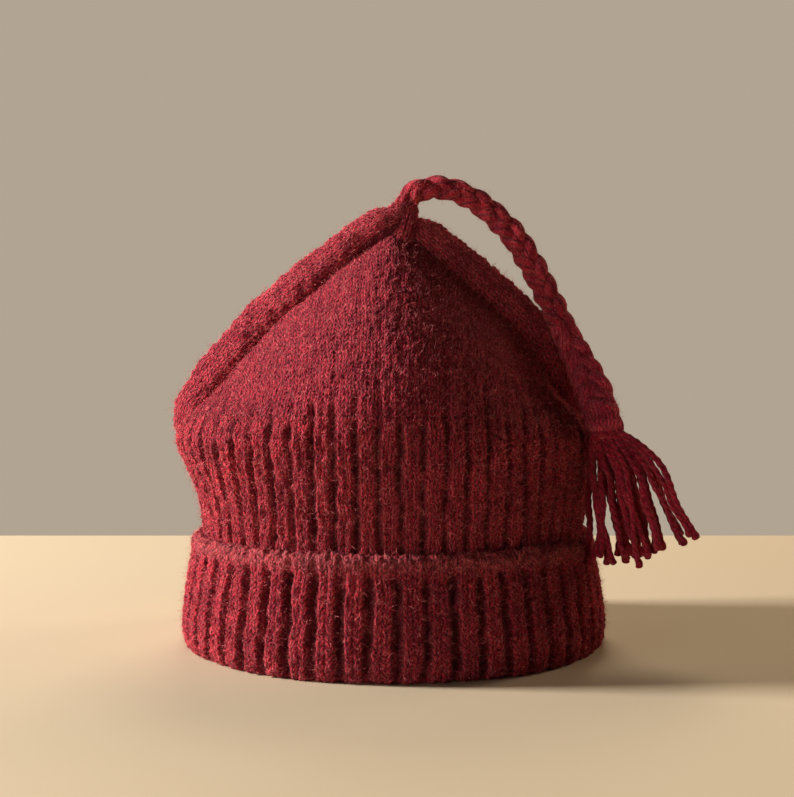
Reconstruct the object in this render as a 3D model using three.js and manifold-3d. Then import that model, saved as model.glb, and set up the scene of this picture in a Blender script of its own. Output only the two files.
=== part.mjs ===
// A knitted wool hat with a turned-up ribbed cuff, a pointed crown, a roll along each side seam,
// and a plaited cord that ends in a tassel. Millimetres, +Z up. The origin is under the middle of
// the hat, cord and tassel left out, on the surface that the cuff rests on. Azimuth is measured
// from the front (-Y) towards the wearer's left side (+X).
import * as THREE from "three";
import { mergeVertices } from "three/addons/utils/BufferGeometryUtils.js";
import Module from "manifold-3d";

const wasm = await Module();
wasm.setup();

// ---- Driving dimensions ----

const gap = 0.3;              // between neighbouring pieces
const rollGap = 0.45;         // between a roll's facets and the wall's
const fabric = 5.0;           // thickness of the ribbed wall, crest to inner face
const slantFabric = 5.6;      // the plain crown, level across its slanting wall
const hatAxis = 1.2;          // x of the cuff's middle

const cuffTop = 52;
const foldFloor = 5;          // the cuff's fold is this thick under the wall's lower end
const ribbedFrom = 49;        // the wall is plain and thinner below this, where the cuff hides it
const hiddenInset = 0.8;
const hiddenOverlap = 2;      // the hidden wall reaches this far up into the ribbed one
const crownFrom = 110;        // the ribs give way to plain knitting here
const crownTop = 197;
const hollowTop = 188;        // the head hollow ends here, under the peak

// The knitted wall's outer face. Each row is a level round of knitting, measured from the hat's
// axis to the left, to the right, and to the front or back. The left shoulder bulges most.
const wall = [
  { height: 5.3, left: 95.4, right: 95.4, depth: 95.4 },
  { height: 20, left: 94.2, right: 94.2, depth: 94.2 },
  { height: 36, left: 92.4, right: 92.4, depth: 92.4 },
  { height: ribbedFrom, left: 91.2, right: 91.2, depth: 91.2 },
  { height: 56, left: 91.9, right: 91.2, depth: 91.4 },
  { height: 70, left: 94.0, right: 93.8, depth: 94.0 },
  { height: 84, left: 99.6, right: 94.8, depth: 96.4 },
  { height: 98, left: 104.8, right: 94.0, depth: 97.6 },
  { height: crownFrom, left: 101.8, right: 90.8, depth: 95.8 },
  { height: 121, left: 91.0, right: 82.6, depth: 90.5 },
  { height: 131, left: 81.6, right: 76.4, depth: 83.0 },
  { height: 142, left: 71.0, right: 69.0, depth: 72.5 },
  { height: 154, left: 59.4, right: 59.4, depth: 60.0 },
  { height: 164, left: 47.0, right: 47.0, depth: 48.8 },
  { height: 173, left: 36.2, right: 36.2, depth: 38.4 },
  { height: 183, left: 23.4, right: 23.4, depth: 27.0 },
  { height: 192, left: 11.0, right: 11.0, depth: 15.0 },
  { height: crownTop, left: 5.0, right: 5.0, depth: 8.0 },
];

// The cuff's outer leaf, from the flat resting ring round the fold and up to the rolled edge.
const cuffFace = [
  { height: 0, radius: 98.4 },
  { height: 3, radius: 100.9 },
  { height: 10, radius: 101.7 },
  { height: 20, radius: 100.9 },
  { height: 36, radius: 98.4 },
  { height: 49, radius: 97.1 },
  { height: cuffTop, radius: 94.4 },
];

// The space inside the cuff's leaf: the mouth at the fold, then the slot that holds the wall.
const cuffSpace = [
  { height: -1, radius: 94.5 },
  { height: 3, radius: 91.6 },
  { height: foldFloor, radius: 91.4 },
  { height: foldFloor, radius: 96.2 },
  { height: 20, radius: 95.0 },
  { height: 36, radius: 93.2 },
  { height: 47, radius: 92.0 },
  { height: 53, radius: 92.6 },
];

// Two knit, two purl: count ribs go round, and the first furrow is at start.
const cuffRibs = { count: 52, furrow: 3.2, start: 1.1, full: 9, fadeLow: 0, fadeHigh: 46, gone: 52 };
const wallRibs = { count: 60, furrow: 2.6, start: 2.2, full: 56, fadeLow: 49, fadeHigh: 97, gone: 109 };
const ribPhases = [0, 0.29, 0.71];   // furrow, then the two corners of the crest

// The roll along each side seam stands on the wall from the shoulder to the peak, and bites into
// its furrow by rollBite. Each row is a height on the wall with the roll's radius there.
const rollBite = 1.6;
const rollFoot = 84;          // no part of the roll reaches below this
const seamRoll = [
  { height: 99, radius: 2.0 },
  { height: 106, radius: 3.3 },
  { height: 114, radius: 5.0 },
  { height: 123, radius: 6.0 },
  { height: 132, radius: 6.7 },
  { height: 142, radius: 7.1 },
  { height: 154, radius: 7.3 },
  { height: 164, radius: 7.9 },
  { height: 174, radius: 8.1 },
  { height: 183, radius: 8.1 },
  { height: 192, radius: 7.8 },
];
// The left roll runs on over the peak, and the right one meets it there: x, z and radius.
const peak = [
  { x: 0.4, z: 203.4, radius: 7.4 },
  { x: 7.4, z: 205.2, radius: 6.8 },
];

// The plaited cord's route, from the peak over to the side of the crown.
const cordRadius = 5.7;
const cordRoute = [
  [6.6, 0, 204.6],
  [7.1, 0, 211.4],
  [9.6, 0, 215.8],
  [13.6, 0, 218.6],
  [18.6, 0, 219.9],
  [24.6, 0, 219.9],
  [31.4, 0, 218.4],
  [38.5, 0, 215.2],
  [45.4, 0, 210.6],
  [52.2, -0.3, 204.7],
  [58.3, -0.8, 197.7],
  [63.5, -1.6, 189.8],
  [68.2, -2.6, 181.4],
  [72.6, -4.0, 172.8],
  [76.6, -5.8, 164.1],
  [80.4, -8.6, 155.3],
  [83.9, -11.6, 147.2],
];

// The tassel's knitted bell carries on along the same line, down to its tie.
const bell = [
  { at: [84.0, -11.7, 146.9], radius: 6.3 },
  { at: [88.0, -15.6, 137.8], radius: 7.1 },
  { at: [91.9, -20.6, 128.2], radius: 7.8 },
  { at: [95.2, -26.6, 118.4], radius: 8.6 },
  { at: [97.3, -32.4, 109.4], radius: 9.0 },
  { at: [97.6, -35.4, 104.0], radius: 7.8 },
  { at: [97.4, -36.8, 99.6], radius: 4.6 },
];

// The tassel's locks fan out from the tie in rows, each from one share of the fan to another.
// forward is how far a row's ends stand in front of the tie.
const lockRows = [
  { count: 6, forward: 12, from: 0.06, to: 0.84 },
  { count: 7, forward: 5, from: 0, to: 1 },
  { count: 4, forward: -5, from: 0.36, to: 0.88 },
];
// A lock bows out before it hangs. At a share of its length along, its turn from straight down is
// between inner, on the hat's side, and outer, in degrees, and it stands out by a share of forward.
const lockLine = [
  { along: 0, inner: 0, outer: 0, out: 0 },
  { along: 0.14, inner: -50, outer: 102, out: 0.45 },
  { along: 0.3, inner: -20, outer: 78, out: 0.8 },
  { along: 0.5, inner: -12, outer: 63, out: 1 },
  { along: 0.72, inner: -7, outer: 51, out: 1 },
  { along: 1, inner: -3.5, outer: 43, out: 1 },
];
const lockLength = 58;
const lockRadius = 2.2;

// How finely the round pieces are cut.
const hollowSides = 36;
const rollSides = 8;
const rollSteps = 17;
const cordSides = 10;
const cordSteps = 24;
const bellSteps = 8;
const lockSides = 6;
const lockSteps = 5;

const overrun = 1;            // a cutter reaches this far past the face that it opens
const rowMargin = 1;          // a wall row closer than this to an end row is left out
const slopeReach = 4;         // the outline's slope is taken over this much height each way
const onAxis = 1e-6;
const mergeWithin = 1e-4;

// ---- Working ----

function columnAt(table, column, height) {
  const above = table.findIndex((row) => row.height >= height);
  if (above <= 0) return table[Math.max(above, 0)][column];
  const low = table[above - 1];
  const high = table[above];
  const share = (height - low.height) / (high.height - low.height);
  return low[column] + share * (high[column] - low[column]);
}

function toSolid(geometry) {
  const bare = geometry.index ? geometry.toNonIndexed() : geometry.clone();
  bare.deleteAttribute("normal");
  bare.deleteAttribute("uv");
  const merged = mergeVertices(bare, mergeWithin);
  const corners = merged.index.array;
  const kept = [];
  for (let i = 0; i < corners.length; i += 3) {
    const [a, b, c] = [corners[i], corners[i + 1], corners[i + 2]];
    if (a !== b && b !== c && c !== a) kept.push(a, b, c);
  }
  return new wasm.Manifold(new wasm.Mesh({
    numProp: 3,
    vertProperties: new Float32Array(merged.attributes.position.array),
    triVerts: new Uint32Array(kept),
  }));
}

function toGeometry(solid) {
  const mesh = solid.getMesh();
  const geometry = new THREE.BufferGeometry();
  geometry.setAttribute("position", new THREE.BufferAttribute(mesh.vertProperties, 3));
  geometry.setIndex(new THREE.BufferAttribute(mesh.triVerts, 1));
  const flat = geometry.toNonIndexed();
  flat.computeVertexNormals();
  return flat;
}

// A solid of revolution through rows of height and radius, closed on the axis at both ends.
function turned(rows, segments) {
  const first = new THREE.Vector2(0, rows[0].height);
  const last = new THREE.Vector2(0, rows[rows.length - 1].height);
  const face = rows.map((row) => new THREE.Vector2(row.radius, row.height));
  return new THREE.LatheGeometry([first, ...face, last], segments).rotateX(Math.PI / 2);
}

function ribStrength(ribs, height) {
  const rising = THREE.MathUtils.smoothstep(height, ribs.fadeLow, ribs.full);
  const falling = 1 - THREE.MathUtils.smoothstep(height, ribs.fadeHigh, ribs.gone);
  return rising * falling;
}

// Moves each column of a turned solid to its place in a rib, and sinks the furrow columns.
function ribbed(geometry, ribs) {
  const place = geometry.attributes.position;
  const columns = ribs.count * ribPhases.length;
  for (let i = 0; i < place.count; i++) {
    const radius = Math.hypot(place.getX(i), place.getY(i));
    if (radius < onAxis) continue;
    const azimuth = Math.atan2(place.getX(i), -place.getY(i));
    const column = (Math.round((azimuth / (2 * Math.PI)) * columns) + columns) % columns;
    const phase = column % ribPhases.length;
    const rib = (column - phase) / ribPhases.length + ribPhases[phase];
    const turn = (rib / ribs.count) * 2 * Math.PI + THREE.MathUtils.degToRad(ribs.start);
    const sunk = phase === 0 ? ribs.furrow * ribStrength(ribs, place.getZ(i)) : 0;
    place.setX(i, (radius - sunk) * Math.sin(turn));
    place.setY(i, -(radius - sunk) * Math.cos(turn));
  }
  return geometry;
}

// Gives a turned solid, whose radius is the wall's depth, the wall's width on each side.
function shaped(geometry) {
  const place = geometry.attributes.position;
  for (let i = 0; i < place.count; i++) {
    const side = place.getX(i) < 0 ? "left" : "right";
    const height = place.getZ(i);
    const stretch = columnAt(wall, side, height) / columnAt(wall, "depth", height);
    place.setX(i, hatAxis + place.getX(i) * stretch);
  }
  return geometry;
}

// Rows of the wall between two heights, grown outwards by grow.
function wallRows(from, to, grow) {
  const between = wall.filter((row) => row.height > from + rowMargin && row.height < to - rowMargin);
  const heights = [from, ...between.map((row) => row.height), to];
  return heights.map((height) => ({ height, radius: columnAt(wall, "depth", height) + grow }));
}

// A round bar along a smooth line through points, with a radius for each of them.
function bar(points, radii, sides, steps) {
  const path = new THREE.CatmullRomCurve3(points, false, "centripetal");
  const ring = new THREE.Shape().absarc(0, 0, 1, 0, 2 * Math.PI, false);
  const geometry = new THREE.ExtrudeGeometry(ring, {
    steps, extrudePath: path, curveSegments: sides / 2, bevelEnabled: false,
  });
  const middles = path.getSpacedPoints(steps);
  const ringRadii = middles.map((_, k) => {
    const along = path.getUtoTmapping(k / steps) * (points.length - 1);
    const low = Math.min(Math.floor(along), points.length - 2);
    return THREE.MathUtils.lerp(radii[low], radii[low + 1], along - low);
  });
  const place = geometry.attributes.position;
  const corner = new THREE.Vector3();
  for (let i = 0; i < place.count; i++) {
    corner.fromBufferAttribute(place, i);
    const distances = middles.map((middle) => middle.distanceTo(corner));
    const nearest = distances.indexOf(Math.min(...distances));
    corner.sub(middles[nearest]).multiplyScalar(ringRadii[nearest]).add(middles[nearest]);
    place.setXYZ(i, corner.x, corner.y, corner.z);
  }
  return toSolid(geometry);
}

// ---- The knitted pieces ----

function makeCuff() {
  const leaf = toSolid(ribbed(turned(cuffFace, cuffRibs.count * ribPhases.length), cuffRibs));
  const space = toSolid(turned(cuffSpace, cuffRibs.count));
  return leaf.subtract(space).translate([hatAxis, 0, 0]);
}

function makeBody() {
  const low = wall[0].height;
  const high = crownFrom - gap / 2;
  const columns = wallRibs.count * ribPhases.length;
  const hiddenRows = wallRows(low, ribbedFrom + hiddenOverlap, -hiddenInset);
  const hollowRows = wallRows(low - overrun, high + overrun, -fabric);
  const hidden = toSolid(shaped(turned(hiddenRows, wallRibs.count)));
  const shown = toSolid(shaped(ribbed(turned(wallRows(ribbedFrom, high, 0), columns), wallRibs)));
  const hollow = toSolid(shaped(turned(hollowRows, hollowSides)));
  return hidden.add(shown).subtract(hollow);
}

function makeCrown() {
  const low = crownFrom + gap / 2;
  const skin = toSolid(shaped(turned(wallRows(low, crownTop, 0), wallRibs.count)));
  const hollowRows = wallRows(low - overrun, hollowTop, -slantFabric);
  const hollow = toSolid(shaped(turned(hollowRows, hollowSides)));
  return skin.subtract(hollow);
}

// Everything that the wall fills, grown by grow, to cut its neighbours clear of it.
function wallSpace(grow) {
  const rows = wallRows(rollFoot, crownTop, grow);
  rows.push({ height: crownTop + grow, radius: rows[rows.length - 1].radius });
  return toSolid(shaped(turned(rows, wallRibs.count)));
}

// The wall's outline at the side, seen from the front.
function outlineAt(side, height) {
  const reach = columnAt(wall, side < 0 ? "left" : "right", height);
  return new THREE.Vector3(hatAxis + side * reach, 0, height);
}

function rollBar(side, grow) {
  const points = seamRoll.map((row) => {
    const above = outlineAt(side, row.height + slopeReach);
    const upward = above.sub(outlineAt(side, row.height - slopeReach)).normalize();
    const outward = new THREE.Vector3(side * upward.z, 0, -side * upward.x);
    return outlineAt(side, row.height).addScaledVector(outward, row.radius - rollBite);
  });
  const ends = side < 0 ? peak : peak.slice(1);
  const radii = [...seamRoll, ...ends].map((row) => row.radius + grow);
  points.push(...ends.map((row) => new THREE.Vector3(row.x, 0, row.z)));
  return bar(points, radii, rollSides, rollSteps);
}

function cordBar(grow) {
  const points = cordRoute.map((point) => new THREE.Vector3(...point));
  points[0].z -= grow;
  return bar(points, points.map(() => cordRadius + grow), cordSides, cordSteps);
}

function makeRoll(side) {
  const cutters = [wallSpace(rollGap), cordBar(gap)];
  if (side > 0) cutters.push(rollBar(-1, gap));
  const cut = cutters.reduce((solid, cutter) => solid.subtract(cutter), rollBar(side, 0));
  const pieces = cut.decompose();
  return pieces.sort((one, other) => other.volume() - one.volume())[0];
}

function makeTassel() {
  const head = bell.map((row) => new THREE.Vector3(...row.at));
  let solid = bar(head, bell.map((row) => row.radius), cordSides, bellSteps);
  const tie = head[head.length - 1];
  for (const row of lockRows) {
    for (let k = 0; k < row.count; k++) {
      const share = THREE.MathUtils.lerp(row.from, row.to, k / (row.count - 1));
      const points = lockLine.map((step) => {
        const turn = THREE.MathUtils.degToRad(THREE.MathUtils.lerp(step.inner, step.outer, share));
        const reach = lockLength * step.along;
        const hang = new THREE.Vector3(Math.sin(turn), 0, -Math.cos(turn)).multiplyScalar(reach);
        hang.y = -row.forward * step.out;
        return hang.add(tie);
      });
      solid = solid.add(bar(points, points.map(() => lockRadius), lockSides, lockSteps));
    }
  }
  return solid;
}

// ---- The hat ----

const wool = new THREE.MeshStandardMaterial({ color: 0x8c1d27, roughness: 0.95, metalness: 0 });
const shadedWool = new THREE.MeshStandardMaterial({ color: 0x741822, roughness: 0.95, metalness: 0 });

const hat = new THREE.Group();

function addPiece(name, solid, material) {
  const mesh = new THREE.Mesh(toGeometry(solid), material);
  mesh.name = name;
  hat.add(mesh);
}

addPiece("cuff", makeCuff(), wool);
addPiece("body", makeBody(), wool);
addPiece("crown", makeCrown(), wool);
addPiece("seam_roll_left", makeRoll(-1), wool);
addPiece("seam_roll_right", makeRoll(1), wool);
addPiece("cord", cordBar(0), shadedWool);
addPiece("tassel", makeTassel(), shadedWool);

export default hat;
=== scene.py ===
import math

import bpy
import numpy as np
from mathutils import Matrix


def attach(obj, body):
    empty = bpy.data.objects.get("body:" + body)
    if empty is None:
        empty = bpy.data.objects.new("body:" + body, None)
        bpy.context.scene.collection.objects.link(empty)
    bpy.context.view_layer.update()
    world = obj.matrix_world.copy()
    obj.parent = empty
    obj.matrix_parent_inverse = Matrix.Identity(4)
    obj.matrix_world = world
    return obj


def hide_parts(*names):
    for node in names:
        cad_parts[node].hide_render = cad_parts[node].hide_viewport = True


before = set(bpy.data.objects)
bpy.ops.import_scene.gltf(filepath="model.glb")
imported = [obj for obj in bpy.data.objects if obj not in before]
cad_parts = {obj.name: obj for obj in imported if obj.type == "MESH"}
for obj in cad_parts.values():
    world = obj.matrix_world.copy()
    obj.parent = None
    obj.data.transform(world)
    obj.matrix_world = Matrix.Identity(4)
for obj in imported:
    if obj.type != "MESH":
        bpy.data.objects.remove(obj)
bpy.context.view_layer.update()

# ---- Camera: level with the hat's shoulder and some 60 cm in front of it ----
# It looks slightly down, so that the cuff's fold and the surface under it both show.
camera = bpy.data.objects.new("camera", bpy.data.cameras.new("camera"))
camera.data.lens = 57.14
camera.data.sensor_width = 36
camera.location = (0.0029, -0.617, 0.124)
camera.rotation_euler = (math.radians(89.3), 0, 0)
bpy.context.scene.collection.objects.link(camera)
bpy.context.scene.camera = camera

# ---- Cord: a three-strand plait that springs from the peak ----
# Each strand is a soft bundle of red wool yarn, twisted on itself and brushed until it is fuzzy.
# The plait is worked straight on from the knitting at the peak and hangs down to the tassel.
MM = 0.001
PLAIT_REPEAT = 32.0         # along the cord, until a strand is back on the same side
PLAIT_SWING = 2.7           # how far a strand goes from side to side
PLAIT_LIFT = 1.9            # and over and under the others
PLAIT_SETTLE = 0.9          # the soft strands sink this far where the cord arches over
STRAND_RADIUS = 3.1
STRAND_SIDES = 20
STRAND_COLUMNS = 4          # plies that show round a strand
STRAND_ROW = 5.5
LINE_STEP = 0.8
TIP_RINGS = 4               # rings that round off the end of a yarn, a strand or a roll
CORD_ROUTE = [
    (6.6, 0, 204.6), (7.1, 0, 211.4), (9.6, 0, 215.8), (13.6, 0, 218.6), (18.6, 0, 219.9),
    (24.6, 0, 219.9), (31.4, 0, 218.4), (38.5, 0, 215.2), (45.4, 0, 210.6), (52.2, -0.3, 204.7),
    (58.3, -0.8, 197.7), (63.5, -1.6, 189.8), (68.2, -2.6, 181.4), (72.6, -4.0, 172.8),
    (76.6, -5.8, 164.1), (80.4, -8.6, 155.3), (83.9, -11.6, 147.2),
]


def smooth_step(value, low, high):
    """0 up to low, 1 from high on, and a soft slope between."""
    share = np.clip((value - low) / (high - low), 0, 1)
    return share * share * (3 - 2 * share)


def read_table(rows, at):
    """Reads the columns of a table smoothly at places along its first column."""
    rows = np.array(rows, float)
    place = rows[:, 0]
    values = rows[:, 1:]
    slope = np.gradient(values, place, axis=0)
    low = np.clip(np.searchsorted(place, at, side="right") - 1, 0, len(place) - 2)
    span = (place[low + 1] - place[low])[:, None]
    t = np.clip((at[:, None] - place[low][:, None]) / span, 0, 1)
    leaving = values[low] * (1 + 2 * t) * (1 - t) ** 2 + slope[low] * span * t * (1 - t) ** 2
    arriving = values[low + 1] * t * t * (3 - 2 * t) + slope[low + 1] * span * t * t * (t - 1)
    return leaving + arriving


def lengths_along(line):
    steps = np.linalg.norm(np.diff(line, axis=0), axis=1)
    return np.concatenate([[0], np.cumsum(steps)])


def smooth_line(points, step):
    """A smooth line through points, cut into even steps."""
    points = np.array(points, float)
    chord = lengths_along(points)
    dense = read_table(np.column_stack([chord, points]), np.linspace(0, chord[-1], 16 * len(points)))
    length = lengths_along(dense)
    even = np.linspace(0, length[-1], max(int(round(length[-1] / step)), 2) + 1)
    return np.column_stack([np.interp(even, length, dense[:, k]) for k in range(3)])


def frames_along(line, first_side):
    """Unit vectors ahead, to the side and up, which turn no more than the line makes them."""
    ahead = np.gradient(line, axis=0)
    ahead /= np.linalg.norm(ahead, axis=1)[:, None]
    side = np.empty_like(line)
    current = np.array(first_side, float)
    for k, forward in enumerate(ahead):
        current = current - forward * current.dot(forward)
        current /= np.linalg.norm(current)
        side[k] = current
    return ahead, side, np.cross(ahead, side)


def round_bar(line, radii, sides, first_side):
    """Rings of points round a line, closed at both ends with a rounded tip."""
    ahead, side, up = frames_along(line, first_side)
    angle = np.arange(sides) * 2 * math.pi / sides
    radii = np.broadcast_to(radii, (len(line), sides))
    spoke = side[:, None] * np.cos(angle)[None, :, None] + up[:, None] * np.sin(angle)[None, :, None]
    rings = line[:, None] + spoke * radii[:, :, None]
    turns = np.linspace(math.pi / 2, 0, TIP_RINGS + 1)[:-1]
    tips = []
    for end, way in ((0, -1), (-1, 1)):
        reach = radii[end].mean()
        middle = line[end] + way * ahead[end] * reach * 0.6 * np.sin(turns)[:, None]
        tip = middle[:, None] + spoke[end] * (radii[end][:, None] * np.cos(turns)[:, None, None])
        tips.append(tip if way < 0 else tip[::-1])
    return np.concatenate([tips[0], rings, tips[1]])


def bar_stitches(rings, columns, row_height, sides):
    """Places in the stitches on a round bar: columns run along it."""
    along = lengths_along(rings.mean(axis=1)) / row_height
    across = np.arange(sides + 1) / sides * columns
    return np.stack(np.meshgrid(across, along), axis=-1)


def cloth_patch(points, stitches, tile=(0, 0, 1, 1), depth=None, ring=False):
    """One net of points, closed across its columns, and closed along its rows if it is a ring.
    stitches holds the places in the knitting, one column more than the points have. depth is 1 on
    top of the knitting, 0 in its furrows, and below 0 where the surface is hidden. Up to 2, the
    wool is painted paler, a painted highlight where light catches the cuff's rim."""
    rows, columns = points.shape[:2]
    depth = np.ones((rows, columns)) if depth is None else depth
    return {
        "points": points, "before": stitches[:, :-1], "after": stitches[:, 1:], "tile": tile,
        "depth": depth, "ring": ring,
    }


def wool_piece(name, patches, material):
    """Joins patches into one mesh piece that rides on the hat."""
    places, depths, faces, stitches, tiles, smooth = [], [], [], [], [], []
    used = 0
    for patch in patches:
        rows, columns = patch["points"].shape[:2]
        low = np.arange(rows if patch["ring"] else rows - 1)[:, None]
        high = (low + 1) % rows
        left = np.arange(columns)[None, :]
        right = (left + 1) % columns
        corners = [(low, left), (low, right), (high, right), (high, left)]
        index = np.stack([r * columns + c + 0 * (low + left) for r, c in corners], axis=-1)
        before, after = patch["before"], patch["after"]
        above = np.roll(before, -1, axis=0)[: len(low)], np.roll(after, -1, axis=0)[: len(low)]
        place = np.stack([before[: len(low)], after[: len(low)], above[1], above[0]], axis=2)
        x0, y0, x1, y1 = patch["tile"]
        x = x0 + (x1 - x0) * (left + 0.02 + np.array([0, 0.96, 0.96, 0])[:, None, None]) / columns
        y = y0 + (y1 - y0) * (low + np.array([0, 0, 1, 1])[:, None, None]) / max(len(low), 1)
        tile = np.stack(np.broadcast_arrays(x, y), axis=-1).transpose(1, 2, 0, 3)
        flat = patch["points"].reshape(-1, 3)
        corner = flat[index]
        crossing = np.cross(corner[:, :, 2] - corner[:, :, 0], corner[:, :, 3] - corner[:, :, 1])
        kept = np.linalg.norm(crossing, axis=-1) > 1e-4
        faces.append(index[kept] + used)
        stitches.append(place[kept])
        tiles.append(tile[kept])
        places.append(flat)
        depths.append(patch["depth"].ravel())
        hidden = depths[-1][index[kept]] < -0.5
        smooth.append(hidden.all(axis=1) | ~hidden.any(axis=1))
        used += rows * columns
    mesh = bpy.data.meshes.new(name)
    mesh.from_pydata((np.concatenate(places) * MM).tolist(), [], np.concatenate(faces).tolist())
    for layer, values in (("OFBake", tiles), ("stitches", stitches)):
        uv = mesh.uv_layers.new(name=layer)
        uv.uv.foreach_set("vector", np.concatenate(values).astype(np.float32).ravel())
    depth = mesh.attributes.new("depth", "FLOAT", "POINT")
    depth.data.foreach_set("value", np.concatenate(depths).astype(np.float32))
    mesh.polygons.foreach_set("use_smooth", np.concatenate(smooth))
    mesh.materials.append(material)
    piece = bpy.data.objects.new(name, mesh)
    bpy.context.scene.collection.objects.link(piece)
    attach(piece, "root")
    return piece


def new_group(name, inputs, outputs):
    """An empty shader group with named inputs and outputs."""
    group = bpy.data.node_groups.new(name, "ShaderNodeTree")
    for socket, kind, value in inputs:
        made = group.interface.new_socket(socket, in_out="INPUT", socket_type=kind)
        if value is not None:
            made.default_value = value
    for socket, kind in outputs:
        group.interface.new_socket(socket, in_out="OUTPUT", socket_type=kind)
    return group, group.nodes.new("NodeGroupInput").outputs, group.nodes.new("NodeGroupOutput").inputs


def set_or_link(tree, socket, value):
    if isinstance(value, bpy.types.NodeSocket):
        tree.links.new(value, socket)
    else:
        socket.default_value = value


def calc(tree, operation, *values, clamp=False):
    """The result of one sum on values or sockets."""
    node = tree.nodes.new("ShaderNodeMath")
    node.operation = operation
    node.use_clamp = clamp
    for socket, value in zip(node.inputs, values):
        set_or_link(tree, socket, value)
    return node.outputs[0]


def blend(tree, share, one, other, kind="MIX"):
    node = tree.nodes.new("ShaderNodeMix")
    node.data_type = "RGBA"
    node.blend_type = kind
    set_or_link(tree, node.inputs["Factor"], share)
    set_or_link(tree, node.inputs["A"], one)
    set_or_link(tree, node.inputs["B"], other)
    return node.outputs["Result"]


def speckle(tree, place, scale, detail, roughness):
    node = tree.nodes.new("ShaderNodeTexNoise")
    tree.links.new(place, node.inputs["Vector"])
    node.inputs["Scale"].default_value = scale
    node.inputs["Detail"].default_value = detail
    node.inputs["Roughness"].default_value = roughness
    return node.outputs["Fac"]


def ramp(tree, value, low, high, bottom=0.0, top=1.0):
    node = tree.nodes.new("ShaderNodeMapRange")
    node.interpolation_type = "SMOOTHSTEP"
    tree.links.new(value, node.inputs["Value"])
    for socket, number in zip(("From Min", "From Max", "To Min", "To Max"), (low, high, bottom, top)):
        node.inputs[socket].default_value = number
    return node.outputs["Result"]


# The dyed wool itself: short fibres in many directions, a few of them pale or nearly black. The yarn
# is painted darker and bluer wherever it lies deep, as painted shade in its furrows and between the
# legs of its stitches, and painted paler on the cuff's rim, as a painted highlight.
fibres, given, result = new_group(
    "wool fibres",
    [("Yarn Height", "NodeSocketFloat", 1.0), ("Depth", "NodeSocketFloat", 1.0),
     ("Wool", "NodeSocketColor", (0.3, 0.03, 0.04, 1)),
     ("Deep Wool", "NodeSocketColor", (0.05, 0.004, 0.01, 1)),
     ("Bright Fibres", "NodeSocketColor", (0.6, 0.12, 0.12, 1))],
    [("Colour", "NodeSocketColor"), ("Height", "NodeSocketFloat")])
place = fibres.nodes.new("ShaderNodeTexCoord").outputs["Object"]


def tangle(scale, width):
    """Thin curly lines that cross the wool in every direction: 1 on a fibre, 0 beside it."""
    wave = speckle(fibres, place, scale, 2, 0.55)
    off_line = calc(fibres, "ABSOLUTE", calc(fibres, "SUBTRACT", wave, 0.5))
    return ramp(fibres, off_line, 0.0, width, 1.0, 0.0)


tuft = speckle(fibres, place, 420, 2, 0.6)
hair = speckle(fibres, place, 1300, 3, 0.7)
cloud = speckle(fibres, place, 55, 3, 0.55)
squeeze = fibres.nodes.new("ShaderNodeVectorMath")
squeeze.operation = "MULTIPLY"
squeeze.inputs[1].default_value = (1, 1, 0.35)
fibres.links.new(place, squeeze.inputs[0])
streak = speckle(fibres, squeeze.outputs[0], 170, 2, 0.55)
curls = calc(fibres, "MAXIMUM", tangle(330, 0.03), tangle(560, 0.035))
yarn_share = calc(fibres, "MULTIPLY", given["Yarn Height"], 0.75)
raised = calc(fibres, "ADD", yarn_share, calc(fibres, "MULTIPLY", tuft, 0.8))
# Painted shade: the yarn takes the Deep Wool colour in its furrows and between the legs of its stitches,
# where shade falls.
unshaded_share = ramp(fibres, given["Depth"], 0.0, 0.85, 0.12, 1.0)
shown = calc(fibres, "MULTIPLY", ramp(fibres, raised, 0.5, 1.15, 0.05, 1.0), unshaded_share)
colour = blend(fibres, shown, given["Deep Wool"], given["Wool"])
# Pale fibres, partly the wool's own and partly painted highlight: glints of fibres catching light, painted
# fewer in the furrows as painted shade.
in_curl = calc(fibres, "ADD", calc(fibres, "MULTIPLY", curls, 0.75), 0.25)
in_light = calc(fibres, "ADD", calc(fibres, "MULTIPLY", unshaded_share, 0.75), 0.15)
glint = calc(fibres, "MULTIPLY", ramp(fibres, hair, 0.5, 0.68), in_curl)
glint = calc(fibres, "MULTIPLY", glint, in_light)
colour = blend(fibres, glint, colour, given["Bright Fibres"])
colour = blend(fibres, ramp(fibres, hair, 0.47, 0.36, 0.0, 0.75), colour, given["Deep Wool"])
patchy = blend(fibres, 1.0, colour, (0.56, 0.4, 0.6, 1), "MULTIPLY")
colour = blend(fibres, ramp(fibres, cloud, 0.4, 0.64, 0.0, 0.5), colour, patchy)
colour = blend(fibres, ramp(fibres, streak, 0.42, 0.66, 0.0, 0.75), colour, patchy)
# Painted highlight: where depth goes over 1, on the cuff's rim, the wool is painted paler as if lit.
rim_highlight = ramp(fibres, given["Depth"], 1.0, 2.0, 0.0, 0.15)
rim_highlight = calc(fibres, "MULTIPLY", rim_highlight, ramp(fibres, tuft, 0.3, 0.6, 0.3, 1.0))
colour = blend(fibres, rim_highlight, colour, given["Bright Fibres"])
fibres.links.new(colour, result["Colour"])
rough = calc(fibres, "ADD", calc(fibres, "MULTIPLY", tuft, 1.2), calc(fibres, "MULTIPLY", hair, 0.6))
rough = calc(fibres, "ADD", rough, calc(fibres, "MULTIPLY", curls, 0.35))
fibres.links.new(calc(fibres, "ADD", given["Yarn Height"], rough), result["Height"])

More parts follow.
